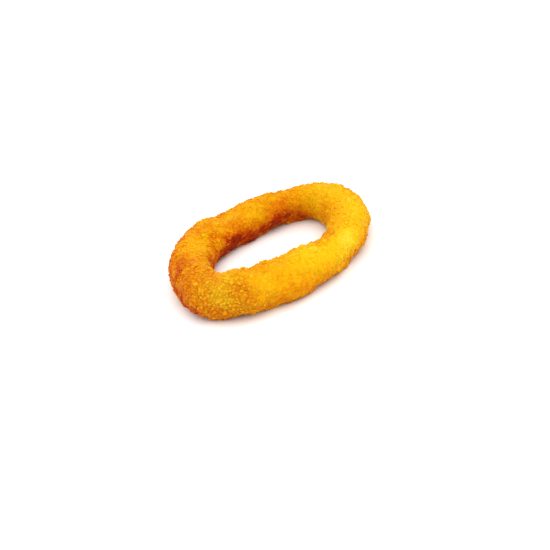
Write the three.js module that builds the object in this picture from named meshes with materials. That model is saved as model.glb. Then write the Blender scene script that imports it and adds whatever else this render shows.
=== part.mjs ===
// A breaded onion ring: one uneven oval ring of battered onion in a craggy crumb crust, solid right through.
//
// Units are millimetres and +Z is up. The ring lies flat with its long way across on X. It stands on Z = 0,
// with the origin under the middle of its box. Two angles name each place on its skin:
//   along   goes round the ring, anticlockwise from +X as seen from above
//   around  goes round the body at that place: 0 outside, 90 on top, 180 at the hole, 270 underneath

import * as THREE from 'three';

const { degToRad } = THREE.MathUtils;
const TURN = 2 * Math.PI;

// ---------------------------------------------------------------- driving dimensions

const MIDDLE_LONG = 61.0; // across the body's middle line, on X
const MIDDLE_SHORT = 43.5; // across the body's middle line, on Y
const BODY_WIDTH = 13.0; // from the outside to the hole, under the crust
const BODY_HEIGHT = 12.1; // from the underside to the top, under the crust
const BODY_LEAN = 12; // degrees that the body's section leans out and up
const SETTLE = 0.1; // how far the underside is pressed in where it rests

// Slow swells along the ring, each a share of the size that it changes, with a crest at the angle given.
const OUTLINE_SWELLS = [
  { turns: 3, share: 0.017, crest: -19 },
  { turns: 4, share: 0.028, crest: 21 },
];
const WIDTH_SWELLS = [
  { turns: 1, share: 0.1, crest: -156 },
  { turns: 3, share: 0.085, crest: -21 },
];
const HEIGHT_SWELLS = [
  { turns: 1, share: 0.067, crest: -131 },
  { turns: 2, share: 0.036, crest: 11 },
];

// Single lumps of batter, and hollows where the height is below zero. Reach is where a lump has faded out.
const LUMPS = [
  { along: 5, around: 200, reach: 4.5, height: 1.0 },
  { along: 30, around: 196, reach: 6.0, height: -1.3 },
  { along: 45, around: 85, reach: 5.0, height: -0.7 },
  { along: 87, around: 80, reach: 4.5, height: -1.2 },
  { along: 118, around: 60, reach: 6.0, height: 0.2 },
  { along: 262, around: 95, reach: 3.0, height: 0.35 },
  { along: 272, around: 85, reach: 3.2, height: -0.4 },
  { along: 290, around: 110, reach: 4.5, height: -1.4 },
];
const BODY_RADIUS = (BODY_WIDTH + BODY_HEIGHT) / 4; // turns an angle around the body into a distance

// The batter's random unevenness is a sum of waves that close on themselves both ways.
const BATTER = { seed: 47, waves: 24, height: 0.08, turns: [2, 14], rolls: [-3, 3] };

// Crags of crumb and batter stand on the skin as low domes, spread evenly, random in size.
const CRAGS = { seed: 29, count: 720, radius: [1.5, 2.7], height: [0.35, 0.9] };
const SPREAD_ALONG = 0.7548776662; // steps of a sequence that fills a square evenly
const SPREAD_AROUND = 0.569840291;

const STEPS_ALONG = 160;
const STEPS_AROUND = 36;

// ---------------------------------------------------------------- random draws

function makeDraw(seed) {
  let state = seed;
  return (low, high) => {
    state = (Math.imul(state, 1664525) + 1013904223) >>> 0;
    return low + ((high - low) * state) / 2 ** 32;
  };
}

function drawWhole(draw, [low, high]) {
  return Math.floor(draw(low, high + 1));
}

// ---------------------------------------------------------------- the smooth body

function swell(swells, along) {
  return 1 + swells.reduce((sum, s) => sum + s.share * Math.cos(s.turns * (along - degToRad(s.crest))), 0);
}

function middleLine(along) {
  const size = swell(OUTLINE_SWELLS, along) / 2;
  return new THREE.Vector2(MIDDLE_LONG * size * Math.cos(along), MIDDLE_SHORT * size * Math.sin(along));
}

// The level direction that points away from the hole, square to the middle line.
function outwards(along) {
  const step = degToRad(2);
  const ahead = middleLine(along + step).sub(middleLine(along - step)).normalize();
  return new THREE.Vector2(ahead.y, -ahead.x);
}

// A point at a height above the smooth skin, with that height measured square to the skin.
function skinPoint(along, around, height) {
  const halfWidth = (BODY_WIDTH / 2) * swell(WIDTH_SWELLS, along);
  const halfHeight = (BODY_HEIGHT / 2) * swell(HEIGHT_SWELLS, along);
  const square = new THREE.Vector2(Math.cos(around) / halfWidth, Math.sin(around) / halfHeight).normalize();
  const section = new THREE.Vector2(halfWidth * Math.cos(around), halfHeight * Math.sin(around))
    .addScaledVector(square, height)
    .rotateAround(new THREE.Vector2(), degToRad(BODY_LEAN));
  const place = middleLine(along).addScaledVector(outwards(along), section.x);
  return new THREE.Vector3(place.x, place.y, halfHeight - SETTLE + section.y);
}

// ---------------------------------------------------------------- lumps, batter and crags

// The shortest way from one angle to another, from -180 to 180 degrees.
function angleBetween(from, to) {
  return THREE.MathUtils.euclideanModulo(to - from + Math.PI, TURN) - Math.PI;
}

function lumpHeight(along, around) {
  const ringRadius = Math.hypot(MIDDLE_LONG * Math.sin(along), MIDDLE_SHORT * Math.cos(along)) / 2;
  return LUMPS.reduce((sum, lump) => {
    const aside = angleBetween(degToRad(lump.along), along) * ringRadius;
    const over = angleBetween(degToRad(lump.around), around) * BODY_RADIUS;
    return sum + lump.height * Math.exp(-(aside ** 2 + over ** 2) / lump.reach ** 2);
  }, 0);
}

function makeBatter() {
  const draw = makeDraw(BATTER.seed);
  const waves = Array.from({ length: BATTER.waves }, () => ({
    turns: drawWhole(draw, BATTER.turns),
    rolls: drawWhole(draw, BATTER.rolls),
    start: draw(0, TURN),
  }));
  return (along, around) =>
    waves.reduce((sum, w) => sum + BATTER.height * Math.cos(w.turns * along + w.rolls * around + w.start), 0);
}

const batterHeight = makeBatter();

function bodyPoint(along, around, height = 0) {
  return skinPoint(along, around, lumpHeight(along, around) + batterHeight(along, around) + height);
}

function makeCrags() {
  const draw = makeDraw(CRAGS.seed);
  return Array.from({ length: CRAGS.count }, (_, i) => ({
    centre: bodyPoint(TURN * ((i * SPREAD_ALONG) % 1), TURN * ((i * SPREAD_AROUND) % 1)),
    radius: draw(...CRAGS.radius),
    height: draw(...CRAGS.height),
  }));
}

const crags = makeCrags();

function cragHeight(point) {
  return crags.reduce((highest, crag) => {
    const away = point.distanceToSquared(crag.centre) / crag.radius ** 2;
    return Math.max(highest, crag.height * (1 - away));
  }, 0);
}

// ---------------------------------------------------------------- the ring

function makeRing() {
  const positions = [];
  for (let i = 0; i < STEPS_ALONG; i++) {
    for (let j = 0; j < STEPS_AROUND; j++) {
      const along = (TURN * i) / STEPS_ALONG;
      const around = (TURN * j) / STEPS_AROUND;
      const point = bodyPoint(along, around, cragHeight(bodyPoint(along, around)));
      positions.push(point.x, point.y, Math.max(point.z, 0));
    }
  }
  const at = (i, j) => (i % STEPS_ALONG) * STEPS_AROUND + (j % STEPS_AROUND);
  const index = [];
  for (let i = 0; i < STEPS_ALONG; i++) {
    for (let j = 0; j < STEPS_AROUND; j++) {
      const corners = [at(i, j), at(i + 1, j), at(i + 1, j + 1), at(i, j + 1)];
      const first = (i + j) % 2; // the diagonal changes sides, so no twist shows
      for (const k of [first, first + 2]) {
        index.push(corners[k], corners[(k + 1) % 4], corners[(k + 2) % 4]);
      }
    }
  }
  const ring = new THREE.BufferGeometry();
  ring.setAttribute('position', new THREE.Float32BufferAttribute(positions, 3));
  ring.setIndex(index);
  ring.computeBoundingBox();
  const middle = ring.boundingBox.getCenter(new THREE.Vector3());
  ring.translate(-middle.x, -middle.y, 0);
  ring.computeVertexNormals();
  return ring;
}

const crust = new THREE.MeshStandardMaterial({ color: 0xe39a1c, roughness: 0.72, metalness: 0 });
const onionRing = new THREE.Mesh(makeRing(), crust);
onionRing.name = 'onion_ring';

const part = new THREE.Group();
part.add(onionRing);

export default part;
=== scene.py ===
# %% [markdown]
# # A breaded onion ring, crumb by crumb
#
# An onion ring is a slice of onion in batter, rolled in fine breadcrumbs and fried until it is golden. What
# the eye reads as "fried" is three things: an uneven ring of batter, a crust of crumbs that each differ a
# little in size and tone, and warm light that soaks into them. The packed model holds the ring as one solid
# at its real size. Its looks could be sculpted and painted by hand, but then nothing could be changed later.
# So we load it as a fixed frame, and build the looks over it in metres, from named sizes and node trees.

# %% Load the packed ring
import math

import bpy
import numpy as np
from mathutils import Matrix, Vector


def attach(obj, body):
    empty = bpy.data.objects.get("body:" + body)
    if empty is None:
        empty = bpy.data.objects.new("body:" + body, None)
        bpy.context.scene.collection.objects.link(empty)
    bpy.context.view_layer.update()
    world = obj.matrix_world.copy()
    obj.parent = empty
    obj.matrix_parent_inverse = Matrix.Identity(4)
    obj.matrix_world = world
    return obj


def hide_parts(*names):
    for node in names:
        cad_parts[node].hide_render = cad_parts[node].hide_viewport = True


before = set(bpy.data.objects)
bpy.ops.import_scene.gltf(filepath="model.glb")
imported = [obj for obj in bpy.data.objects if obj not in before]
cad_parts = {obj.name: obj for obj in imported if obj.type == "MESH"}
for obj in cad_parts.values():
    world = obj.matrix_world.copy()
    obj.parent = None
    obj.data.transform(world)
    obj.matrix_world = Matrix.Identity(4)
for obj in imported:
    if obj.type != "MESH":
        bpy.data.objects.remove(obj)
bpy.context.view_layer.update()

NODE = "onion_ring"
MM = 0.001


# %% [markdown]
# ## The ring's sizes
#
# A slice of onion is an uneven oval hoop, and its coat of batter is thicker in some places than in others.
# The hoop could be drawn as a curve with a bevel. Here each size is a plain number with slow swells on it: so
# many waves in a turn, each with its share of the size and its crest. They are the same named sizes that the
# solid was made from, so the solid and its looks keep one form.

# %% The ring's sizes
TURN = 2 * math.pi
MIDDLE_LONG = 61.0 * MM  # across the body's middle line, on X
MIDDLE_SHORT = 43.5 * MM  # across the body's middle line, on Y
BODY_WIDTH = 13.0 * MM  # from the outside to the hole, under the crust
BODY_HEIGHT = 12.1 * MM  # from the underside to the top, under the crust
BODY_LEAN = math.radians(12)  # how far the body's section leans out and up
SETTLE = 0.1 * MM  # how far the underside is pressed in where it rests

# waves per turn, share of the size that they change, and where a crest lies in degrees
OUTLINE_SWELLS = [(3, 0.017, -19), (4, 0.028, 21)]
WIDTH_SWELLS = [(1, 0.1, -156), (3, 0.085, -21)]
HEIGHT_SWELLS = [(1, 0.067, -131), (2, 0.036, 11)]


def swell(swells, along):
    return 1 + sum(share * np.cos(turns * (along - math.radians(crest))) for turns, share, crest in swells)


whole_turn = np.linspace(0, TURN, 361)
for label, size, swells in (("width", BODY_WIDTH, WIDTH_SWELLS), ("height", BODY_HEIGHT, HEIGHT_SWELLS)):
    swollen = size * swell(swells, whole_turn) / MM
    print(f"body {label}: {swollen.min():.1f} to {swollen.max():.1f} mm")

# %% [markdown]
# ## A place on the skin
#
# Every place on the skin has two angles. `along` goes round the ring and `around` goes round its body: 0 is
# outside, 90 on top, 180 at the hole and 270 underneath. The looks could start from a copy of the solid's
# mesh, but that has only as many faces as a solid needs. A formula can be sampled as finely as we like.

# %% The smooth skin
LOOK_AHEAD = math.radians(2)  # how far ahead and back we look to find which way the middle line runs


def middle_line(along):
    size = swell(OUTLINE_SWELLS, along) / 2
    return MIDDLE_LONG * size * np.cos(along), MIDDLE_SHORT * size * np.sin(along)


def skin_point(along, around, height):
    """A point at a height above the smooth skin, measured square to the skin."""
    half_width = BODY_WIDTH / 2 * swell(WIDTH_SWELLS, along)
    half_height = BODY_HEIGHT / 2 * swell(HEIGHT_SWELLS, along)
    square_x, square_z = np.cos(around) / half_width, np.sin(around) / half_height
    length = np.hypot(square_x, square_z)
    x = half_width * np.cos(around) + height * square_x / length
    z = half_height * np.sin(around) + height * square_z / length
    cos, sin = math.cos(BODY_LEAN), math.sin(BODY_LEAN)
    out, up = x * cos - z * sin, x * sin + z * cos
    (x1, y1), (x0, y0) = middle_line(along + LOOK_AHEAD), middle_line(along - LOOK_AHEAD)
    length = np.hypot(x1 - x0, y1 - y0)
    x, y = middle_line(along)
    x, y = x + out * (y1 - y0) / length, y - out * (x1 - x0) / length
    return np.stack([x, y, half_height - SETTLE + up], -1)


top_line = skin_point(whole_turn, math.radians(90), 0.0)[:, 2] / MM
print(f"smooth top: {top_line.min():.1f} to {top_line.max():.1f} mm above the table")

# %% [markdown]
# ## Lumps and waves of batter
#
# Batter runs and gathers before it sets. The few lumps and hollows that make this ring itself are placed one
# by one, and the rest is a faint random unevenness. A noise texture would do for that, but it leaves a seam
# on a tube unless it is wrapped with care, so we add up waves that close on themselves both ways. The random
# numbers come from a tiny generator with a fixed seed, the one that shaped the solid, so the relief sits in
# the same places on both.

# %% The batter's relief
BODY_RADIUS = (BODY_WIDTH + BODY_HEIGHT) / 4  # turns an angle around the body into a distance
LUMPS = [  # along, around, reach, height
    (5, 200, 4.5 * MM, 1.0 * MM),
    (30, 196, 6.0 * MM, -1.3 * MM),
    (45, 85, 5.0 * MM, -0.7 * MM),
    (87, 80, 4.5 * MM, -1.2 * MM),
    (118, 60, 6.0 * MM, 0.2 * MM),
    (262, 95, 3.0 * MM, 0.35 * MM),
    (272, 85, 3.2 * MM, -0.4 * MM),
    (290, 110, 4.5 * MM, -1.4 * MM),
]
BATTER_SEED, BATTER_WAVES, BATTER_HEIGHT = 47, 24, 0.08 * MM
BATTER_TURNS, BATTER_ROLLS = (2, 14), (-3, 3)  # waves round the ring, and round the body
DRAW_TIMES, DRAW_PLUS, DRAW_RANGE = 1664525, 1013904223, 2**32  # of the little random generator


def make_draw(seed):
    state = [seed]

    def draw(low, high):
        state[0] = (state[0] * DRAW_TIMES + DRAW_PLUS) % DRAW_RANGE
        return low + (high - low) * state[0] / DRAW_RANGE

    return draw


def near(along, around, spot_along, spot_around, reach, reach_over=None):
    """1 at a named place on the skin, and about a third at its reach along the ring or over the body."""
    ring_radius = np.hypot(MIDDLE_LONG * np.sin(along), MIDDLE_SHORT * np.cos(along)) / 2
    aside = ((along - math.radians(spot_along) + math.pi) % TURN - math.pi) * ring_radius
    over = ((around - math.radians(spot_around) + math.pi) % TURN - math.pi) * BODY_RADIUS
    return np.exp(-((aside / reach) ** 2) - (over / (reach_over or reach)) ** 2)


def spot_sum(spots, along, around):
    """Adds up single spots, each with its place, its reach, and what it adds in its middle."""
    return sum(spot[-1] * near(along, around, *spot[:-1]) for spot in spots)


def make_batter():
    draw = make_draw(BATTER_SEED)
    waves = []
    for _ in range(BATTER_WAVES):
        turns = math.floor(draw(BATTER_TURNS[0], BATTER_TURNS[1] + 1))
        rolls = math.floor(draw(BATTER_ROLLS[0], BATTER_ROLLS[1] + 1))
        waves.append((turns, rolls, draw(0, TURN)))
    return lambda along, around: sum(np.cos(t * along + r * around + s) for t, r, s in waves) * BATTER_HEIGHT


batter_height = make_batter()


def body_point(along, around, height=0.0):
    return skin_point(along, around, spot_sum(LUMPS, along, around) + batter_height(along, around) + height)


ripple = batter_height(whole_turn, math.radians(90)) / MM
print(f"{len(LUMPS)} lumps, and waves from {ripple.min():.2f} to {ripple.max():.2f} mm along the top")

# %% [markdown]
# ## Crags
#
# Where crumbs clump in wet batter they stand up as low domes. Pushing the skin about by a noise would give
# soft waves with no edges, so each crag is a dome of its own. Hundreds of them are spread evenly, by a
# sequence that fills a square, and their sizes are drawn. The highest dome over a point wins, which leaves
# sharp valleys between them.

# %% The crags
CRAG_SEED, CRAG_COUNT = 29, 720
CRAG_RADIUS, CRAG_HEIGHT = (1.5 * MM, 2.7 * MM), (0.35 * MM, 0.9 * MM)
SPREAD_ALONG, SPREAD_AROUND = 0.7548776662, 0.569840291  # steps that fill a square evenly


def crag_height(points):
    """The highest crag dome over each point."""
    draw = make_draw(CRAG_SEED)
    index = np.arange(CRAG_COUNT)
    centres = body_point(TURN * (index * SPREAD_ALONG % 1), TURN * (index * SPREAD_AROUND % 1))
    sizes = np.array([(draw(*CRAG_RADIUS), draw(*CRAG_HEIGHT)) for _ in index])
    highest = np.zeros(len(points))
    for centre, (radius, height) in zip(centres, sizes):
        away = ((points - centre) ** 2).sum(1) / radius**2
        highest = np.maximum(highest, height * (1 - away))
    return highest


along_top = crag_height(body_point(whole_turn, math.radians(90))) / MM
print(f"{CRAG_COUNT} crags, up to {along_top.max():.2f} mm high along the top")

# %% [markdown]
# ## How far each place has fried, and painted light and shade
#
# Thin and proud places brown first and thick ones stay pale, so a fried ring is never one colour. Not every
# spot is frying alone: some are painted shade, darker on the hole's inner walls; at the left end and along
# the underside they are partly browning and partly painted shade; others are painted highlight and painted
# light, paler over the right end and on its inner side. This could be painted by hand in Texture Paint, but
# then it would be an image, tied to one size of mesh. So each spot is a line of numbers: where it lies, how
# far it reaches both ways, and how much it adds. The spots become two attributes that the core and its
# crumbs both read: `browning`, which carries the painted shade and light as well, and `patch`, where the
# crust is coarse and pale.

# %% The browning
BROWNING = 0.39  # the crust's mean, from 0 for pale gold to 1 for deep brown
BROWNING_AND_PAINTED_LIGHT_SPOTS = [  # along, around, reach along the ring, reach over the body, more or less browned
    # The seven spots below pale the right end: partly its own paler gold, partly painted highlight
    (325, 60, 20 * MM, 20 * MM, -0.12),
    (338, 85, 9 * MM, 9 * MM, -0.09),
    (338, 112, 6 * MM, 3 * MM, -0.08),
    (301, 50, 5 * MM, 5 * MM, -0.04),
    (289, 28, 5 * MM, 5 * MM, -0.14),
    (315, 20, 9 * MM, 9 * MM, -0.08),
    (293, 48, 6 * MM, 6 * MM, -0.08),
    (282, 92, 4.5 * MM, 4 * MM, 0.12),
    (268, 74, 4 * MM, 3 * MM, -0.1),
    (284, 24, 6 * MM, 7 * MM, -0.1),
    (288, 84, 10 * MM, 6 * MM, 0.2),
    (262, 22, 13 * MM, 12 * MM, -0.2),
    (228, 5, 4 * MM, 6 * MM, -0.1),
    (240, 80, 9 * MM, 8 * MM, 0.1),
    # Painted light: the next two spots lighten the inner side of the right end, which the lamp reaches less
    (15, 100, 8 * MM, 8 * MM, -0.07),
    (13, 182, 7 * MM, 6 * MM, -0.12),
    (334, 141, 10 * MM, 7 * MM, 0.28),
    (40, 90, 8 * MM, 8 * MM, 0.12),
    (70, 145, 5 * MM, 4 * MM, -0.1),
    (90, 150, 4.5 * MM, 5 * MM, 0.14),
    (206, 14, 7 * MM, 7 * MM, -0.12),
    (188, 18, 4 * MM, 4 * MM, 0.09),
    (208, 8, 4 * MM, 4 * MM, -0.08),
    (178, 32, 5 * MM, 6 * MM, -0.14),
    # Darker at the left end: partly its own browner crust, partly painted shade
    (170, 10, 5 * MM, 5 * MM, 0.08),
    (183, 345, 5 * MM, 5.5 * MM, 0.2),
    (152, 13, 6 * MM, 4 * MM, 0.18),
    (217, 22, 3 * MM, 3 * MM, 0.15),
    (215, 350, 7 * MM, 5 * MM, 0.05),
    (180, 325, 9 * MM, 4 * MM, 0.06),
    (205, 328, 5 * MM, 4 * MM, 0.04),
    (258, 335, 14 * MM, 5 * MM, 0.18),
    (300, 345, 6 * MM, 6 * MM, 0.16),
    (160, 60, 7 * MM, 5 * MM, 0.12),
    (83, 56, 3 * MM, 3 * MM, -0.1),
    (158, 60, 3.5 * MM, 3.5 * MM, 0.1),
    (172, 64, 5 * MM, 4 * MM, 0.12),
    (134, 126, 7 * MM, 6 * MM, -0.28),
    (140, 82, 5 * MM, 4 * MM, 0.1),
    (192, 78, 7 * MM, 5 * MM, 0.12),
    (128, 76, 8 * MM, 8 * MM, 0.09),
    (115, 72, 3 * MM, 3 * MM, 0.06),
    (108, 90, 4 * MM, 6 * MM, 0.1),
    # Painted shade: most spots below darken the hole's inner wall at the back and at the left end
    (50, 140, 3.5 * MM, 3.5 * MM, 0.17),
    (37, 127, 3 * MM, 4 * MM, -0.08),
    (43, 203, 10 * MM, 5 * MM, 0.34),
    (93, 194, 22 * MM, 4.8 * MM, 0.6),
    (138, 166, 5.5 * MM, 4.5 * MM, 0.62),
    (70, 20, 40 * MM, 4 * MM, 0.14),
    (335, 5, 14 * MM, 4 * MM, 0.06),
    # Darker along the underside: partly browned in the oil, partly painted shade near the table
    (255, 298, 50 * MM, 4 * MM, 0.14),
    (0, 325, 16 * MM, 5 * MM, 0.16),
    (90, 345, 45 * MM, 5 * MM, 0.12),
    (90, 298, 45 * MM, 4.5 * MM, 0.2),
    (72, 2, 8 * MM, 6 * MM, 0.12),
    (118, 345, 7 * MM, 5 * MM, 0.1),
    (28, 350, 7 * MM, 5 * MM, 0.1),
    (248, 182, 28 * MM, 6 * MM, 0.15),
    (285, 190, 8 * MM, 5 * MM, 0.1),
    (225, 200, 7 * MM, 6 * MM, 0.1),
]
PATCHES = [  # the same, with how coarse and pale the crust is
    (206, 14, 6.5 * MM, 6.5 * MM, 0.8),
    (216, 2, 5 * MM, 5 * MM, 0.5),
    (185, 40, 14 * MM, 14 * MM, 0.35),
    (267, 80, 5 * MM, 3.5 * MM, 0.3),
]
print(len(BROWNING_AND_PAINTED_LIGHT_SPOTS), "spots of browning and", len(PATCHES), "coarse pale patches")

# %% [markdown]
# ## Crumb that has gathered or is missing
#
# A crust isn't one thickness. Here and there crumb has gathered in a clump, or a bit has come off, and it
# shows most along an edge. A sculpting brush would do it in a moment, but not twice alike. So each is one
# more spot, like those of the browning, which lifts or lowers the skin of the core.

# %% The clumps
CLUMPS = [  # along, around, reach, height
    (33, 72, 3.5 * MM, 0.65 * MM),
    (43, 204, 4.5 * MM, -1.0 * MM),
    (68, 198, 3.5 * MM, -0.6 * MM),
    (85, 57, 3.0 * MM, -1.0 * MM),
    (96, 43, 4.0 * MM, 0.6 * MM),
    (118, 42, 4.0 * MM, 0.3 * MM),
    (140, 38, 3.0 * MM, -0.5 * MM),
    (200, 312, 4.0 * MM, 0.6 * MM),
    (204, 90, 2.5 * MM, -0.6 * MM),
    (225, 93, 2.5 * MM, -0.7 * MM),
    (229, 318, 3.0 * MM, -0.7 * MM),
    (236, 103, 2.5 * MM, 0.5 * MM),
    (246, 318, 4.5 * MM, 0.8 * MM),
    (248, 84, 2.5 * MM, -0.8 * MM),
    (274, 74, 3.0 * MM, -1.2 * MM),
    (282, 100, 3.0 * MM, -0.8 * MM),
    (285, 325, 4.5 * MM, -0.7 * MM),
    (314, 3, 3.5 * MM, -1.0 * MM),
    (328, 171, 3.0 * MM, -0.6 * MM),
    (336, 5, 4.0 * MM, 0.7 * MM),
]
gathered = sum(height > 0 for *_, height in CLUMPS)
print(gathered, "gathered clumps and", len(CLUMPS) - gathered, "bits missing")

# %% [markdown]
# ## The core of the crust
#
# The core is the crust under the loose crumbs. It is a fine grid of the skin's two angles, closed both ways.
# Subdividing the solid would smooth its crags away, while a new grid keeps them sharp. The crags stand at
# part of their height, because the crumbs laid on top bring the rest. The grid is also its UV map: one clean
# sheet, cut once along the outside and once across the body. The painted values ride on it as attributes.

# %% The core
CORE_ALONG, CORE_AROUND = 560, 172  # quads round the ring, and round the body
CRAG_SHARE = 0.75  # how much of a crag the core shows
MAP_NAME = "OFBake"


def grid_mesh(name, point_grid):
    """A closed tube of quads with its grid as the UV map."""
    rows, sides = point_grid.shape[:2]
    mesh = bpy.data.meshes.new(name)
    i, j = np.meshgrid(np.arange(rows), np.arange(sides), indexing="ij")
    next_i, next_j = (i + 1) % rows, (j + 1) % sides
    faces = np.stack([i * sides + j, next_i * sides + j, next_i * sides + next_j, i * sides + next_j], -1)
    mesh.from_pydata(point_grid.reshape(-1, 3), [], faces.reshape(-1, 4).tolist())
    u = np.stack([i, i + 1, i + 1, i], -1) / rows
    v = np.stack([j, j, j + 1, j + 1], -1) / sides
    uv = mesh.uv_layers.new(name=MAP_NAME)
    uv.uv.foreach_set("vector", np.stack([u, v], -1).astype(np.float32).ravel())
    mesh.shade_smooth()
    return mesh


def add_object(name, data):
    made = bpy.data.objects.new(name, data)
    bpy.context.scene.collection.objects.link(made)
    return made


along, around = np.meshgrid(
    np.arange(CORE_ALONG) / CORE_ALONG * TURN, np.arange(CORE_AROUND) / CORE_AROUND * TURN, indexing="ij"
)
crags = crag_height(body_point(along, around).reshape(-1, 3)).reshape(along.shape)
full = body_point(along, around, crags).reshape(-1, 3)
centre = (full.min(0) + full.max(0)) / 2
skin = body_point(along, around, crags * CRAG_SHARE + spot_sum(CLUMPS, along, around))
skin -= [centre[0], centre[1], 0]
skin[..., 2] = np.maximum(skin[..., 2], 0)

core_mesh = grid_mesh("core_base", skin)
# `browning` holds the frying and also the painted shade and painted light of its spots
attributes = {
    "browning": BROWNING + spot_sum(BROWNING_AND_PAINTED_LIGHT_SPOTS, along, around),
    "patch": spot_sum(PATCHES, along, around),
}
for name, values in attributes.items():
    attribute = core_mesh.attributes.new(name, "FLOAT", "POINT")
    attribute.data.foreach_set("value", values.astype(np.float32).ravel())
    print(f"{name}: {values.min():.2f} to {values.max():.2f}")
core_base = add_object("core_base", core_mesh)
print("core:", len(core_mesh.polygons), "quads, off centre by", np.round(centre[:2] / MM, 2), "mm")

# %% [markdown]
# ## A small helper for node trees
#
# Both kinds of tree, geometry and shader, are built in the script. They could be drawn in the editor, but a
# script can be read, compared and run again. The helper adds a node, sets its plain values and links its
# sockets in one call, so that each line of a tree reads like a sentence. A socket is found by its name, among
# those that the node shows.

# %% The node helper
NODE_WIDTH, NODE_HEIGHT, NODES_A_ROW = 180, 200, 12  # how the nodes are laid out in the editor


class Tree:
    def __init__(self, tree):
        self.tree = tree

    def add(self, kind, inputs=(), **settings):
        node = self.tree.nodes.new(kind)
        row, column = divmod(len(self.tree.nodes), NODES_A_ROW)
        node.location = (NODE_WIDTH * column, -NODE_HEIGHT * row)
        for name, value in settings.items():
            setattr(node, name, value)
        for name, value in dict(inputs).items():
            self.feed(self.socket(node.inputs, name), value)
        return node

    def socket(self, sockets, name):
        if isinstance(name, int):
            return sockets[name]
        return next(s for s in sockets if s.enabled and s.name == name)

    def feed(self, socket, value):
        if isinstance(value, bpy.types.Node):
            value = next(s for s in value.outputs if s.enabled)
        if isinstance(value, bpy.types.NodeSocket):
            self.tree.links.new(value, socket)
        else:
            socket.default_value = value

    def out(self, node, name):
        return self.socket(node.outputs, name)

    def given(self):
        """The tree's own inputs, by name."""
        return {s.name: s for s in self.add("NodeGroupInput").outputs if s.name}

    def math(self, operation, *values, clamp=False):
        return self.add("ShaderNodeMath", dict(enumerate(values)), operation=operation, use_clamp=clamp)

    def centred(self, value):
        """A value from 0 to 1, as one from -0.5 to 0.5."""
        return self.math("SUBTRACT", value, 0.5)

    def vector(self, operation, *values, **named):
        return self.add("ShaderNodeVectorMath", {**dict(enumerate(values)), **named}, operation=operation)

    def named_attribute(self, name, data_type="FLOAT"):
        return self.add("GeometryNodeInputNamedAttribute", {"Name": name}, data_type=data_type)

    def store(self, geometry, name, value, data_type="FLOAT", domain="POINT"):
        inputs = {"Geometry": geometry, "Name": name, "Value": value}
        return self.add("GeometryNodeStoreNamedAttribute", inputs, data_type=data_type, domain=domain)

    def capture(self, geometry, fields):
        """Keeps what fields of points say here, for use after the points have changed."""
        node = self.add("GeometryNodeCaptureAttribute", {"Geometry": geometry}, domain="POINT")
        for name, (data_type, value) in fields.items():
            node.capture_items.new(data_type, name)
            self.feed(node.inputs[name], value)
        return self.out(node, "Geometry"), {name: node.outputs[name] for name in fields}


print("a tree can:", ", ".join(name for name in vars(Tree) if not name.startswith("_")))

# %% [markdown]
# ## From a tree to a plain mesh
#
# Crust and crumbs are real shapes, so what their trees make has to end as plain mesh. Every geometry tree
# takes a mesh, its named sizes and a material. At its end it lifts what would sink into the table, because a
# ring rests on its crust, then realizes the instances, which an export would drop, and gives them the
# material. The modifier could stay live, but then it would run again at every change. So its result is copied
# out as a mesh of its own.

# %% The geometry tree helpers


def geometry_tree(name, numbers):
    """A geometry tree with a Geometry input, named numbers and a Material, and one Geometry output."""
    tree = bpy.data.node_groups.new(name, "GeometryNodeTree")
    tree.interface.new_socket("Geometry", in_out="INPUT", socket_type="NodeSocketGeometry")
    for label, value in numbers.items():
        kind = "NodeSocketInt" if isinstance(value, int) else "NodeSocketFloat"
        tree.interface.new_socket(label, in_out="INPUT", socket_type=kind).default_value = value
    tree.interface.new_socket("Material", in_out="INPUT", socket_type="NodeSocketMaterial")
    tree.interface.new_socket("Geometry", in_out="OUTPUT", socket_type="NodeSocketGeometry")
    nodes = Tree(tree)
    return nodes, nodes.given()


def finish_tree(nodes, geometry, material):
    """Rests everything on the table, then realizes it and gives it its material."""
    parts = nodes.add("ShaderNodeSeparateXYZ", {"Vector": nodes.add("GeometryNodeInputPosition")})
    level = nodes.math("MAXIMUM", nodes.out(parts, "Z"), 0.0)
    rested = nodes.add(
        "ShaderNodeCombineXYZ", {"X": nodes.out(parts, "X"), "Y": nodes.out(parts, "Y"), "Z": level}
    )
    pressed = nodes.add("GeometryNodeSetPosition", {"Geometry": geometry, "Position": rested})
    real = nodes.add("GeometryNodeRealizeInstances", {"Geometry": pressed})
    dressed = nodes.add("GeometryNodeSetMaterial", {"Geometry": real, "Material": material})
    nodes.add("NodeGroupOutput", {"Geometry": dressed})


def bake_tree(name, source, tree, values):
    """Runs a tree over the source object's mesh and returns the result as a plain mesh object."""
    modifier = source.modifiers.new(name, "NODES")
    modifier.node_group = tree
    for item in tree.interface.items_tree:
        if item.in_out == "INPUT" and item.name in values:
            modifier[item.identifier] = values[item.name]
    graph = bpy.context.evaluated_depsgraph_get()
    mesh = bpy.data.meshes.new_from_object(source.evaluated_get(graph), depsgraph=graph)
    source.modifiers.remove(modifier)
    mesh.name = name
    return add_object(name, mesh)


def triangles(mesh):
    return sum(len(p.vertices) - 2 for p in mesh.polygons)


print("a tree runs over:", core_base.name, "with", triangles(core_mesh), "triangles")
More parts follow.
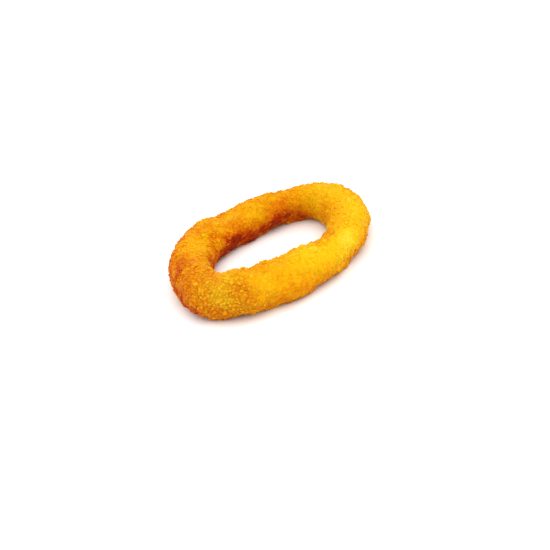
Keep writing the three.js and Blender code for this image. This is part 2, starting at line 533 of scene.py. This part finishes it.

# %% [markdown]
# ## The colour of frying
#
# Breadcrumb goes from pale gold through yellow and orange to brown as it fries. The gaps between crumbs are
# darker and redder, partly because oil soaks them and partly as painted shade. Each material could mix its
# own colours, but they would drift apart. So one shader group makes the colour from how browned the place
# is, with the painted shade and light that ride on that, the crumb's own tone and how deep it lies. Browner
# places, the fried ones and those with painted shade alike, are also more uneven, and patches take a tint of
# their own. The group gives out only a colour: the shader itself stays in each material.

# %% The shared colour group
WHITE = (1.0, 1.0, 1.0, 1.0)
NOISE_DETAIL = 3.0
FRIED_STEPS = [  # browning, and the linear colour there
    (0.0, (0.78, 0.59, 0.06)),
    (0.22, (0.74, 0.465, 0.008)),
    (0.45, (0.71, 0.335, 0.003)),
    (0.68, (0.62, 0.195, 0.002)),
    # The darkest steps are reached mostly where painted shade lies, on the hole's inner walls
    (0.86, (0.5, 0.085, 0.002)),
    (1.0, (0.32, 0.03, 0.002)),
]
FRIED_INPUTS = (
    ("Place", "NodeSocketVector", None),
    # Browning carries painted shade and painted light along with the frying
    ("Browning", "NodeSocketFloat", BROWNING),
    ("Tone", "NodeSocketFloat", 0.5),
    ("Tone spread", "NodeSocketFloat", 0.2),
    ("Paling", "NodeSocketFloat", 0.0),
    ("Relief", "NodeSocketFloat", 1.0),
    # Painted shade and oil soak: how much darker a place is the deeper it lies
    ("Depth shade and browning", "NodeSocketFloat", 0.2),
    ("Mottle size", "NodeSocketFloat", 4 * MM),
    ("Mottle", "NodeSocketFloat", 0.1),
    ("Patch", "NodeSocketFloat", 0.0),
    ("Patch tint", "NodeSocketColor", WHITE),
)


def frying_ramp(nodes, fried):
    ramp = nodes.add("ShaderNodeValToRGB", {"Fac": fried})
    ramp.color_ramp.interpolation = "LINEAR"
    for place, _ in FRIED_STEPS[1:-1]:
        ramp.color_ramp.elements.new(place)
    for element, (place, colour) in zip(ramp.color_ramp.elements, FRIED_STEPS):
        element.position = place
        element.color = (*colour, 1.0)
    return nodes.out(ramp, "Color")


def make_fried_group():
    tree = bpy.data.node_groups.new("Fried crumb colour", "ShaderNodeTree")
    for label, kind, value in FRIED_INPUTS:
        socket = tree.interface.new_socket(label, in_out="INPUT", socket_type=kind)
        if value is not None:
            socket.default_value = value
    tree.interface.new_socket("Color", in_out="OUTPUT", socket_type="NodeSocketColor")
    nodes = Tree(tree)
    given = nodes.given()
    scale = nodes.math("DIVIDE", 1.0, given["Mottle size"])
    mottle = nodes.add(
        "ShaderNodeTexNoise", {"Vector": given["Place"], "Scale": scale, "Detail": NOISE_DETAIL}
    )
    # Painted shade counts here as browning, so it mottles too
    heat_and_shade = nodes.math("MULTIPLY", given["Browning"], 1 / BROWNING)
    uneven = nodes.math("MULTIPLY", heat_and_shade, heat_and_shade)
    spots = nodes.math("MULTIPLY", nodes.centred(nodes.out(mottle, "Fac")), given["Mottle"])
    mottled = nodes.math("MULTIPLY", spots, uneven)
    toned = nodes.math("MULTIPLY", nodes.centred(given["Tone"]), given["Tone spread"])
    # Darker where a place lies deep: oil soak and painted shade
    depth = nodes.math("MULTIPLY", nodes.math("SUBTRACT", 1.0, given["Relief"]), given["Depth shade and browning"])
    grain = nodes.math("MULTIPLY", nodes.math("ADD", toned, depth), nodes.math("MINIMUM", uneven, 1.0))
    fried = nodes.math("SUBTRACT", nodes.math("ADD", given["Browning"], mottled), given["Paling"])
    colour = frying_ramp(nodes, nodes.math("ADD", fried, grain))
    tint = nodes.add(
        "ShaderNodeMix", {"Factor": given["Patch"], "A": WHITE, "B": given["Patch tint"]}, data_type="RGBA"
    )
    tinted = nodes.add(
        "ShaderNodeMix",
        {"Factor": 1.0, "A": colour, "B": nodes.out(tint, "Result")},
        data_type="RGBA",
        blend_type="MULTIPLY",
    )
    nodes.add("NodeGroupOutput", {"Color": nodes.out(tinted, "Result")})
    return tree


fried_group = make_fried_group()
print("colour group:", len(fried_group.nodes), "nodes and", len(FRIED_STEPS), "steps of frying")

# %% [markdown]
# ## Three materials of the same food
#
# The batter under the crumbs is soaked and darker where it lies deep, partly by oil and partly as painted
# shade; the crumbs are drier and vary one from the next, and those of the patches are paler. A plain glossy
# colour would look like plastic: fried food glows, because light goes in a little way and comes out warm. So
# all three let light in, red deepest. Fine noise in the Bump keeps the highlights small and broken, as oil
# does on toast.

# %% The crust materials
GLOW_RADIUS = (1.0, 0.38, 0.06)  # how far red, green and blue go, as shares of the glow depth
CRUST_ROUGHNESS = 0.5
OIL_SHINE = 0.2
OIL_TINT = (1.0, 0.72, 0.22, 1.0)
DRY_TINT = (0.84, 0.88, 1.6, 1.0)
PALE_TINT = (0.88, 0.93, 3.5, 1.0)


def crust_material(name, colours, glow, glow_depth, bump_size, bump_depth):
    """A material around the colour group; `colours` holds the group's own values for this finish."""
    material = bpy.data.materials.new(name)
    material.use_nodes = True
    material.node_tree.nodes.clear()
    nodes = Tree(material.node_tree)
    place = nodes.out(nodes.add("ShaderNodeTexCoord"), "Object")
    # Browning carries painted shade and light too, and Relief sets how much painted shade and oil soak darken
    # a place
    fields = {
        label: nodes.out(nodes.add("ShaderNodeAttribute", attribute_name=label.lower()), "Fac")
        for label in ("Browning", "Tone", "Relief", "Patch")
    }
    fried = nodes.add("ShaderNodeGroup", node_tree=fried_group)
    for label, value in {"Place": place, **colours, **fields}.items():
        nodes.feed(fried.inputs[label], value)
    grain = nodes.add("ShaderNodeTexNoise", {"Vector": place, "Scale": 1 / bump_size, "Detail": NOISE_DETAIL})
    bump = nodes.add("ShaderNodeBump", {"Height": nodes.out(grain, "Fac"), "Distance": bump_depth})
    shader = nodes.add(
        "ShaderNodeBsdfPrincipled",
        {
            "Base Color": fried.outputs["Color"],
            "Roughness": CRUST_ROUGHNESS,
            "Specular IOR Level": OIL_SHINE,
            "Specular Tint": OIL_TINT,
            "Subsurface Weight": glow,
            "Subsurface Radius": GLOW_RADIUS,
            "Subsurface Scale": glow_depth,
            "Normal": bump,
        },
    )
    nodes.add("ShaderNodeOutputMaterial", {"Surface": shader})
    return material


# The depth darkening set for each finish below is partly oil soak and partly painted shade in low places
core_finish = crust_material(
    "fried_batter",
    {"Tone spread": 0.0, "Paling": 0.0, "Depth shade and browning": 0.26, "Mottle": 0.3, "Patch tint": DRY_TINT},
    glow=0.4, glow_depth=0.8 * MM, bump_size=0.5 * MM, bump_depth=0.12 * MM,
)
crumb_surface = {"glow": 0.35, "glow_depth": 0.7 * MM, "bump_size": 0.3 * MM, "bump_depth": 0.06 * MM}
crumb_finish = crust_material(
    "fried_crumb",
    {"Tone spread": 0.2, "Paling": 0.0, "Depth shade and browning": 0.15, "Mottle": 0.3, "Patch tint": DRY_TINT},
    **crumb_surface,
)
patch_finish = crust_material(
    "pale_crumb",
    {"Tone spread": 0.2, "Paling": 0.03, "Depth shade and browning": 0.24, "Mottle": 0.3, "Patch tint": PALE_TINT},
    **crumb_surface,
)
print("finishes:", core_finish.name, crumb_finish.name, patch_finish.name)

# %% [markdown]
# ## Relief on the core
#
# Under the loose crumbs the batter is itself grainy. Bump in the material could fake that, but it would
# vanish at the outline. So a Geometry Nodes tree pushes the core's skin along its normal, by a cell pattern
# the size of crumbs and a softer noise the size of clumps, and sinks the patches a little. It also keeps how
# high each grain stands as the attribute `relief`, so that the material can darken the gaps, partly as oil
# soak and partly as painted shade. In the patches `relief` is lowered further, which darkens the batter
# between the pale chips in the same two ways.

# %% The relief tree
DOME_POWER = 2.0  # how a grain falls off from its middle
CLUMP_DETAIL = 2.0


def make_relief_tree():
    numbers = {
        "Grain size": 1.0 * MM,
        "Grain height": 0.3 * MM,
        "Clump size": 4.0 * MM,
        "Clump height": 0.3 * MM,
        "Patch depth": 0.25 * MM,
        "Patch shade and browning": 0.45,
    }
    nodes, given = geometry_tree("Crust relief", numbers)
    place = nodes.add("GeometryNodeInputPosition")
    cell_scale = nodes.math("DIVIDE", 1.0, given["Grain size"])
    cells = nodes.add("ShaderNodeTexVoronoi", {"Vector": place, "Scale": cell_scale}, feature="F1")
    fall = nodes.math("POWER", nodes.out(cells, "Distance"), DOME_POWER)
    domed = nodes.math("SUBTRACT", 1.0, fall, clamp=True)
    clump_scale = nodes.math("DIVIDE", 1.0, given["Clump size"])
    clumps = nodes.add(
        "ShaderNodeTexNoise", {"Vector": place, "Scale": clump_scale, "Detail": CLUMP_DETAIL}
    )
    grain = nodes.math("MULTIPLY", nodes.centred(domed), given["Grain height"])
    clump = nodes.math("MULTIPLY", nodes.centred(nodes.out(clumps, "Fac")), given["Clump height"])
    patch = nodes.named_attribute("patch")
    sunk = nodes.math("MULTIPLY", patch, given["Patch depth"])
    # Lower relief in the patches: darker batter between the pale chips, browning and painted shade
    relief = nodes.math("SUBTRACT", domed, nodes.math("MULTIPLY", patch, given["Patch shade and browning"]))
    noted = nodes.store(given["Geometry"], "relief", relief)
    height = nodes.math("SUBTRACT", nodes.math("ADD", grain, clump), sunk)
    push = nodes.vector("SCALE", nodes.add("GeometryNodeInputNormal"), Scale=height)
    raised = nodes.add("GeometryNodeSetPosition", {"Geometry": noted, "Offset": push})
    finish_tree(nodes, raised, given["Material"])
    return nodes.tree


core = bake_tree("crust_core", core_base, make_relief_tree(), {"Material": core_finish})
print("crust_core:", triangles(core.data), "triangles")

# %% [markdown]
# ## Where crumbs stick
#
# Breadcrumbs stick side by side, and the larger ones gather in places and leave others bare. Plain random
# points would pile up on each other, so the scatter keeps a least distance between them. A slow noise says
# where the larger kinds gather. The painted `patch` says where the pale ones lie, and where the others make
# room for them.

# %% The scatter
CANDIDATES = 3.0e7  # points tried in a square metre, before those too close together go
CLUSTER_SIZE = 5 * MM
CLUSTER_DETAIL = 1.0


def scatter_crumbs(nodes, given):
    patch = nodes.math("MULTIPLY", nodes.named_attribute("patch"), 1.0, clamp=True)
    drift = nodes.add(
        "ShaderNodeTexNoise",
        {
            "Vector": nodes.add("GeometryNodeInputPosition"), "Scale": 1 / CLUSTER_SIZE,
            "W": given["Seed"], "Detail": CLUSTER_DETAIL,
        },
        noise_dimensions="4D",
    )
    gather = nodes.math("MULTIPLY", nodes.centred(nodes.out(drift, "Fac")), given["Gathered"])
    spread = nodes.math("ADD", 1.0, nodes.math("SUBTRACT", gather, given["Thinned"]), clamp=True)
    sparse = nodes.math("SUBTRACT", 1.0, nodes.math("MULTIPLY", patch, given["Thinned in patches"]))
    elsewhere = nodes.math("MULTIPLY", spread, sparse)
    share = nodes.add(
        "ShaderNodeMapRange", {"Value": given["Only in patches"], "To Min": elsewhere, "To Max": patch}
    )
    return nodes.add(
        "GeometryNodeDistributePointsOnFaces",
        {
            "Mesh": given["Geometry"], "Distance Min": given["Spacing"], "Density Max": CANDIDATES,
            "Density Factor": share, "Seed": given["Seed"],
        },
        distribute_method="POISSON",
    )


print("clusters of crumb:", CLUSTER_SIZE / MM, "mm")

# %% [markdown]
# ## Size, seat and tone
#
# No two crumbs are alike: small ones are more common than large ones, some sit deeper in the batter, and most
# are of one tone with a few much paler or darker. A few hand-made crumbs could be picked from at random, but
# repeats would show. So each point draws its own size, seat and tone, every draw from its own fixed seed. It
# also keeps its centre, its number and which way is up, which a chip needs once it is real mesh.

# %% The draws of each crumb
DRAW_SEEDS = {"size": 11, "seat": 19, "dents": 23, "tone": 37, "turn": 41, "shape": 53}
SIZE_POWER = 1.6  # above 1, small crumbs are more common
SEAT_SPREAD = 0.18  # how much higher or deeper than its kind a crumb sits, as a share of its size
DENT_REACH = 90.0  # how far apart in one noise crumbs look for their dents
MEAN_TONE, TONE_REACH, TONE_POWER = 0.5, 0.5, 3.0
TONE_NEAR, TONE_FAR = 0.4, 2.4  # what the draw does to the tone of every crumb, and of the few at its ends


def chance(nodes, given, what, low, high):
    """A random number or vector for each crumb."""
    inputs = {"Min": low, "Max": high, "Seed": nodes.math("ADD", given["Seed"], float(DRAW_SEEDS[what]))}
    data_type = "FLOAT" if isinstance(low, float) else "FLOAT_VECTOR"
    return nodes.add("FunctionNodeRandomValue", inputs, data_type=data_type)


def seat_crumbs(nodes, given, scatter):
    """Gives each point its size, seat and tone, and returns the points, their size and what they keep."""
    small = nodes.math("POWER", chance(nodes, given, "size", 0.0, 1.0), SIZE_POWER)
    size = nodes.add(
        "ShaderNodeMapRange", {"Value": small, "To Min": given["Smallest"], "To Max": given["Largest"]}
    )
    deeper = chance(nodes, given, "seat", -SEAT_SPREAD, SEAT_SPREAD)
    seat = nodes.math("MULTIPLY", nodes.math("ADD", given["Lift"], deeper), size)
    rise = nodes.vector("SCALE", nodes.out(scatter, "Normal"), Scale=seat)
    lifted = nodes.add("GeometryNodeSetPosition", {"Geometry": nodes.out(scatter, "Points"), "Offset": rise})
    fields = {
        "centre": ("VECTOR", nodes.add("GeometryNodeInputPosition")),
        "own": ("VECTOR", chance(nodes, given, "dents", (0.0,) * 3, (DENT_REACH,) * 3)),
        "number": ("INT", nodes.add("GeometryNodeInputIndex")),
        "width": ("FLOAT", size),
        "up": ("VECTOR", nodes.out(scatter, "Normal")),
    }
    points, kept = nodes.capture(lifted, fields)
    off = chance(nodes, given, "tone", -TONE_REACH, TONE_REACH)
    most = nodes.math("MULTIPLY", off, TONE_NEAR)
    few = nodes.math("MULTIPLY", nodes.math("POWER", off, TONE_POWER), TONE_FAR)
    tone = nodes.math("ADD", MEAN_TONE, nodes.math("ADD", most, few))
    return nodes.store(points, "tone", tone), size, kept


print("draws of each crumb:", ", ".join(DRAW_SEEDS))

# %% [markdown]
# ## A map for each crumb
#
# A crumb is a tiny chip, but it still needs its own place on the UV map, so that colours can be baked on it.
# Smart UV Project would do, at a high cost for thousands of chips. So the ball that they are all made from
# gets its map once, its upper half beside its lower half, and each crumb then shrinks that map into a small
# tile of its own.

# %% The crumbs' map
HALF_TILE = 0.5
TILE_SPREAD = 0.19  # a half of the ball on the map, as a share of the tile
TALLER = (1.0, 2.0, 0.0)  # each half of a tile is twice as tall as it is wide


def map_ball(nodes, ball):
    """Stores the ball's own map: its upper half on the left of a tile and its lower half on the right."""
    direction = nodes.vector("NORMALIZE", nodes.add("GeometryNodeInputPosition"))
    parts = nodes.add("ShaderNodeSeparateXYZ", {"Vector": direction})
    flat = nodes.add("ShaderNodeCombineXYZ", {"X": nodes.out(parts, "X"), "Y": nodes.out(parts, "Y")})
    face_z = nodes.add(
        "GeometryNodeFieldOnDomain", {0: nodes.out(parts, "Z")}, domain="FACE", data_type="FLOAT"
    )
    below = nodes.math("LESS_THAN", nodes.out(face_z, "Value"), 0.0)
    side = nodes.math("SUBTRACT", 1.0, nodes.math("MULTIPLY", below, 2.0))
    slope = nodes.math("ARCCOSINE", nodes.math("MULTIPLY", nodes.out(parts, "Z"), side))
    reach = nodes.math("MULTIPLY", slope, TILE_SPREAD / (math.pi / 2))
    outward = nodes.vector("SCALE", nodes.vector("NORMALIZE", flat), Scale=reach)
    across = nodes.math("ADD", HALF_TILE / 2, nodes.math("MULTIPLY", below, HALF_TILE))
    middle = nodes.add("ShaderNodeCombineXYZ", {"X": across, "Y": HALF_TILE})
    place = nodes.vector("ADD", middle, nodes.vector("MULTIPLY", outward, TALLER))
    return nodes.store(ball, MAP_NAME, place, "FLOAT2", "CORNER")


def tile_crumbs(nodes, crumbs, points, number):
    """Shrinks each crumb's map into its own tile, in the smallest square of tiles that holds all crumbs."""
    count = nodes.add("GeometryNodeAttributeDomainSize", {0: points}, component="POINTCLOUD")
    side = nodes.math("CEIL", nodes.math("SQRT", nodes.out(count, "Point Count")))
    column = nodes.math("MODULO", number, side)
    row = nodes.math("FLOOR", nodes.math("DIVIDE", number, side))
    tile = nodes.add("ShaderNodeCombineXYZ", {"X": column, "Y": row})
    own_map = nodes.vector("ADD", nodes.named_attribute(MAP_NAME, "FLOAT_VECTOR"), tile)
    in_tile = nodes.vector("SCALE", own_map, Scale=nodes.math("DIVIDE", 1.0, side))
    return nodes.store(crumbs, MAP_NAME, in_tile, "FLOAT2", "CORNER")


print("each half of a crumb's map takes", round(2 * TILE_SPREAD, 2), "of the width of its tile")

# %% [markdown]
# ## From a ball to a chip
#
# Breadcrumbs are chips of no two shapes. A handful of modelled chips would show their repeats, and real
# fracturing would be far too heavy. So a ball of a few dozen flat faces goes on each point, squashed and
# turned at random, and then every corner moves in or out by a noise that differs from crumb to crumb. How
# high a corner lies in its crumb is kept as `relief`, because the foot of a crumb is darker: partly oil
# soaks it, and partly it is painted shade.

# %% The chips
BALL_RADIUS = 0.5  # so that the ball's scale is the crumb's width
TILT = 0.5  # the most that a crumb leans off the skin either way, in radians
LEAST_STRETCH, MOST_STRETCH = 0.7, 1.3
DENTS_ACROSS = 1.6  # the size of the dents, as how many lie across a crumb
DENT_DEPTH = 4.0
DENT_SCALE, DENT_DETAIL = 1.0, 2.0
# The foot of a crumb is darker, partly by oil and partly as painted shade
FOOT, CLEAR = -0.15, 0.3  # darkest below and clear above, over a crumb's middle, as shares of its width


def place_balls(nodes, given, scatter, points, size):
    ball = nodes.add("GeometryNodeMeshIcoSphere", {"Radius": BALL_RADIUS, "Subdivisions": given["Detail"]})
    mapped = map_ball(nodes, nodes.out(ball, "Mesh"))
    faceted = nodes.add("GeometryNodeSetShadeSmooth", {"Geometry": mapped, "Shade Smooth": False})
    lean = chance(nodes, given, "turn", (-TILT, -TILT, 0.0), (TILT, TILT, TURN))
    turned = nodes.add(
        "FunctionNodeRotateRotation",
        {
            "Rotation": nodes.out(scatter, "Rotation"),
            "Rotate By": nodes.add("FunctionNodeEulerToRotation", {0: lean}),
        },
        rotation_space="LOCAL",
    )
    stretch = chance(nodes, given, "shape", (LEAST_STRETCH,) * 3, (MOST_STRETCH,) * 3)
    squash = nodes.add("ShaderNodeCombineXYZ", {"X": 1.0, "Y": 1.0, "Z": given["Flatness"]})
    scale = nodes.vector("SCALE", nodes.vector("MULTIPLY", stretch, squash), Scale=size)
    placed = nodes.add(
        "GeometryNodeInstanceOnPoints",
        {"Points": points, "Instance": faceted, "Rotation": turned, "Scale": scale},
    )
    return nodes.add("GeometryNodeRealizeInstances", {"Geometry": placed})


def chip_balls(nodes, given, balls, kept):
    """Moves every corner in or out by the crumb's own noise, and keeps how high it lies."""
    arm = nodes.vector("SUBTRACT", nodes.add("GeometryNodeInputPosition"), kept["centre"])
    look = nodes.vector("SCALE", arm, Scale=nodes.math("DIVIDE", DENTS_ACROSS, kept["width"]))
    sample = nodes.vector("ADD", kept["own"], look)
    dents = nodes.add(
        "ShaderNodeTexNoise", {"Vector": sample, "Scale": DENT_SCALE, "Detail": DENT_DETAIL}
    )
    dent = nodes.math("MULTIPLY", nodes.centred(nodes.out(dents, "Fac")), given["Chipped"])
    longer = nodes.math("ADD", 1.0, nodes.math("MULTIPLY", dent, DENT_DEPTH))
    corner = nodes.vector("ADD", kept["centre"], nodes.vector("SCALE", arm, Scale=longer))
    chipped = nodes.add("GeometryNodeSetPosition", {"Geometry": balls, "Position": corner})
    # How high a corner lies, for the oil soak and painted shade at a crumb's foot
    above = nodes.math("DIVIDE", nodes.vector("DOT_PRODUCT", arm, kept["up"]), kept["width"])
    shown = nodes.add("ShaderNodeMapRange", {"Value": above, "From Min": FOOT, "From Max": CLEAR})
    return nodes.store(chipped, "relief", shown)


print("a crumb is stretched from", LEAST_STRETCH, "to", MOST_STRETCH, "of its width each way")

# %% [markdown]
# ## One tree for every crumb
#
# All crumbs are made the same way and differ only in size and number. Each kind could have a tree of its own,
# but a change would then have to be made in all of them. One tree with named inputs serves every kind.

# %% The crumb tree


def make_crumb_tree():
    numbers = {
        "Spacing": 1.3 * MM, "Smallest": 0.9 * MM, "Largest": 1.7 * MM, "Flatness": 0.55, "Lift": -0.1,
        "Chipped": 0.8, "Gathered": 0.0, "Thinned": 0.0, "Only in patches": 0.0, "Thinned in patches": 0.0,
        "Detail": 2, "Seed": 1,
    }
    nodes, given = geometry_tree("Breadcrumbs", numbers)
    scatter = scatter_crumbs(nodes, given)
    points, size, kept = seat_crumbs(nodes, given, scatter)
    balls = place_balls(nodes, given, scatter, points, size)
    chips = chip_balls(nodes, given, balls, kept)
    mapped = tile_crumbs(nodes, chips, points, kept["number"])
    finish_tree(nodes, mapped, given["Material"])
    return nodes.tree


crumb_tree = make_crumb_tree()
print("crumb tree:", len(crumb_tree.nodes), "nodes")

# %% [markdown]
# ## Six kinds of crumb
#
# A crust has a few chips of about a millimetre or more, which gather in clusters, many smaller ones, and fine
# crumb, grit and dust that fill the gaps. Where it is pale it has chips of its own. One scatter with a wide
# range of sizes would be simpler, but then large and small would keep the same distance. So each kind is one
# piece with its own spacing, and the three finest kinds have fewer faces.

# %% Lay the crumbs
CRUMBS = {
    "crumbs_patch": {
        "Spacing": 0.95 * MM, "Smallest": 0.5 * MM, "Largest": 1.35 * MM, "Only in patches": 1.0,
        "Lift": 0.0, "Detail": 2, "Seed": 2,
    },
    "crumbs_coarse": {
        "Spacing": 1.7 * MM, "Smallest": 0.8 * MM, "Largest": 1.5 * MM, "Gathered": 5.0, "Thinned": 0.85,
        "Lift": -0.1, "Detail": 2, "Seed": 3,
    },
    "crumbs_medium": {
        "Spacing": 1.2 * MM, "Smallest": 0.5 * MM, "Largest": 1.0 * MM, "Gathered": 4.0, "Thinned": 0.5,
        "Lift": -0.05, "Thinned in patches": 0.5, "Detail": 2, "Seed": 5,
    },
    "crumbs_fine": {
        "Spacing": 0.75 * MM, "Smallest": 0.4 * MM, "Largest": 0.8 * MM,
        "Lift": -0.05, "Thinned in patches": 0.8, "Detail": 1, "Seed": 7,
    },
    "crumbs_grit": {
        "Spacing": 0.75 * MM, "Smallest": 0.35 * MM, "Largest": 0.7 * MM,
        "Lift": -0.05, "Thinned in patches": 0.8, "Detail": 1, "Seed": 8,
    },
    "crumbs_dust": {
        "Spacing": 0.75 * MM, "Smallest": 0.3 * MM, "Largest": 0.6 * MM,
        "Lift": 0.0, "Thinned in patches": 0.5, "Detail": 1, "Seed": 9,
    },
}
BALL_FACES = {1: 20, 2: 80}  # by the ball's detail
pieces = [core]
for name, sizes in CRUMBS.items():
    finish = patch_finish if sizes.get("Only in patches") else crumb_finish
    piece = bake_tree(name, core, crumb_tree, {"Material": finish, **sizes})
    pieces.append(piece)
    count = len(piece.data.polygons) // BALL_FACES[sizes["Detail"]]
    print(name, count, "crumbs", triangles(piece.data), "triangles")
print("in all", sum(triangles(piece.data) for piece in pieces), "triangles")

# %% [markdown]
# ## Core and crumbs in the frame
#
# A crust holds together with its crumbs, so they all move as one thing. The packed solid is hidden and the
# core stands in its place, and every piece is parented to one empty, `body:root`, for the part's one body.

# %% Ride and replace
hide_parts(NODE)
for piece in pieces:
    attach(piece, "root")
bpy.data.objects.remove(core_base)
print("riding on root:", ", ".join(piece.name for piece in pieces))

# %% [markdown]
# ## The table
#
# Food is shown best on something plain. A curved sweep would hide the horizon, but the camera looks down, so
# a flat square that is far larger than the view does the same. It is a little under white and quite dull, so
# that it takes the ring's warm glow and shadow without shining back.

# %% The table
TABLE_HALF = 3.0
TABLE_WHITE = (0.86, 0.86, 0.86, 1)
TABLE_ROUGHNESS = 0.9
corners = [(x * TABLE_HALF, y * TABLE_HALF, 0) for x, y in ((-1, -1), (1, -1), (1, 1), (-1, 1))]
floor_mesh = bpy.data.meshes.new("floor")
floor_mesh.from_pydata(corners, [], [(0, 1, 2, 3)])
floor = add_object("floor", floor_mesh)
floor_finish = bpy.data.materials.new("white_sweep")
floor_finish.use_nodes = True
floor_shader = floor_finish.node_tree.nodes["Principled BSDF"]
floor_shader.inputs["Base Color"].default_value = TABLE_WHITE
floor_shader.inputs["Roughness"].default_value = TABLE_ROUGHNESS
floor_mesh.materials.append(floor_finish)
print("table:", 2 * TABLE_HALF, "m across")

# %% [markdown]
# ## Light from all round
#
# In a white studio most light comes from walls and ceiling, which is why shadows under food are soft and
# pale. Many lamps could stand round the ring, but an even white world does it in one step and with less
# noise.

# %% The sky
SKY_STRENGTH = 1.05
world = bpy.data.worlds.new("sweep")
bpy.context.scene.world = world
world.use_nodes = True
sky = world.node_tree.nodes["Background"]
sky.inputs["Color"].default_value = WHITE
sky.inputs["Strength"].default_value = SKY_STRENGTH
print("sky strength:", SKY_STRENGTH)

# %% [markdown]
# ## The camera
#
# Small food is shot with a long lens from a little way off, because a wide one up close would swell the near
# side. The camera looks down at the ring's broad side and is rolled a little. It could be turned by hand, or
# by a Track To constraint, which can't roll it. Here three directions give its place and its turn: back,
# right and up.

# %% The camera
CAMERA_AZIMUTH = math.radians(-39)
CAMERA_HEIGHT = math.radians(30)  # above the table, as an angle
CAMERA_ROLL = math.radians(12)
CAMERA_DISTANCE = 0.4493
AIM_RIGHT, AIM_UP = 0.0013, -0.0044  # where the lens points, from the ring's middle
LENS, SENSOR = 90, 36  # mm
CLIP_NEAR, CLIP_FAR = 0.01, 20

level_reach = math.cos(CAMERA_HEIGHT)
back = Vector((
    math.sin(CAMERA_AZIMUTH) * level_reach, -math.cos(CAMERA_AZIMUTH) * level_reach, math.sin(CAMERA_HEIGHT)
))
level = Vector((math.cos(CAMERA_AZIMUTH), math.sin(CAMERA_AZIMUTH), 0))
right = level * math.cos(CAMERA_ROLL) - back.cross(level) * math.sin(CAMERA_ROLL)
up = back.cross(right)
camera_data = bpy.data.cameras.new("camera")
camera_data.lens = LENS
camera_data.sensor_width = SENSOR
camera_data.clip_start = CLIP_NEAR
camera_data.clip_end = CLIP_FAR
camera = add_object("camera", camera_data)
turn = Matrix((right, up, back)).transposed().to_4x4()
camera.matrix_world = Matrix.Translation(back * CAMERA_DISTANCE + right * AIM_RIGHT + up * AIM_UP) @ turn
bpy.context.scene.camera = camera
print("camera at, mm:", [round(v / MM) for v in camera.matrix_world.translation])

# %% [markdown]
# ## One large lamp
#
# Crumbs only show their form when light comes from one side more than from the others. A sun would cut hard
# shadows, so a round lamp wider than a metre hangs high over the ring, a little to the camera's side and to
# its right. The view transform is Standard with more contrast, which keeps the golds clear, where a filmic
# one would grey them.

# %% The lamp
LAMP_ACROSS, LAMP_POWER = 1.1, 3.6
LAMP_RIGHT, LAMP_HEIGHT, LAMP_FORWARD = 0.12, 0.8, 0.35
lamp_data = bpy.data.lights.new("key", "AREA")
lamp_data.shape = "DISK"
lamp_data.size = LAMP_ACROSS
lamp_data.energy = LAMP_POWER
lamp = add_object("key", lamp_data)
lamp.location = right * LAMP_RIGHT + Vector((0, 0, LAMP_HEIGHT)) + Vector((back.x, back.y, 0)) * LAMP_FORWARD
lamp.rotation_euler = (-lamp.location).to_track_quat("-Z", "Y").to_euler()
bpy.context.scene.view_settings.view_transform = "Standard"
bpy.context.scene.view_settings.look = "Medium High Contrast"
print("lamp at, mm:", [round(v / MM) for v in lamp.location])

# %% [markdown]
